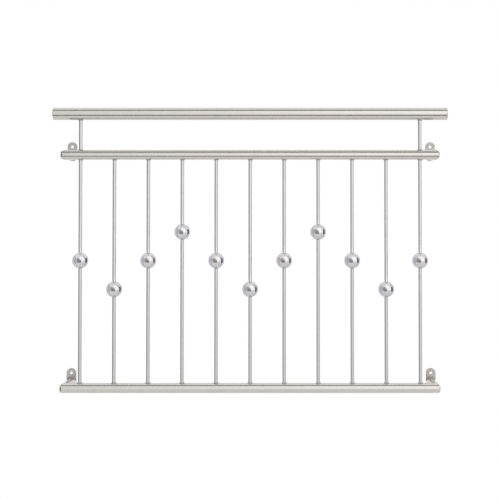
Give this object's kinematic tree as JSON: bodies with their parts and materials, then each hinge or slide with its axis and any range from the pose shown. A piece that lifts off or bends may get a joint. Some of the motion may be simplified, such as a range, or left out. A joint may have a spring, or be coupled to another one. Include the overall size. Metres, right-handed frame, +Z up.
{
  "type": "juliet balcony",
  "caption": "Wall-hung window guard: round handrail on two posts over a row of thin upright bars, each carrying one ball, with return legs and drilled plates.",
  "frame": {"origin": "on the wall plane, at the back face of the lower left wall plate, where the axis of that plate's return leg meets it", "axes": "+Z up, +Y into the wall, +X along the railing to the right as seen from the street side, which faces -Y"},
  "size_m": [1.28, 0.1155, 0.927],
  "materials": {
    "satin_tube": "satin stainless steel tube, ground round its girth",
    "satin_bar": "satin stainless steel round bar",
    "satin_plate": "satin stainless steel plate, cut and brushed",
    "polished_ball": "mirror-polished hollow stainless steel ball"
  },
  "bodies": {
    "root": {"handrail": "satin_tube", "upper_rail": "satin_tube", "lower_rail": "satin_tube", "handrail_cap_left": "satin_plate", "handrail_post_left": "satin_bar", "upper_return_left": "satin_tube", "upper_plate_left": "satin_plate", "lower_return_left": "satin_tube", "lower_plate_left": "satin_plate", "handrail_cap_right": "satin_plate", "handrail_post_right": "satin_bar", "upper_return_right": "satin_tube", "upper_plate_right": "satin_plate", "lower_return_right": "satin_tube", "lower_plate_right": "satin_plate", "bar_01": "satin_bar", "bar_02": "satin_bar", "bar_03": "satin_bar", "bar_04": "satin_bar", "bar_05": "satin_bar", "bar_06": "satin_bar", "bar_07": "satin_bar", "bar_08": "satin_bar", "bar_09": "satin_bar", "bar_10": "satin_bar", "bar_11": "satin_bar", "ball_01": "polished_ball", "ball_02": "polished_ball", "ball_03": "polished_ball", "ball_04": "polished_ball", "ball_05": "polished_ball", "ball_06": "polished_ball", "ball_07": "polished_ball", "ball_08": "polished_ball", "ball_09": "polished_ball", "ball_10": "polished_ball", "ball_11": "polished_ball"}
  },
  "joints": []
}
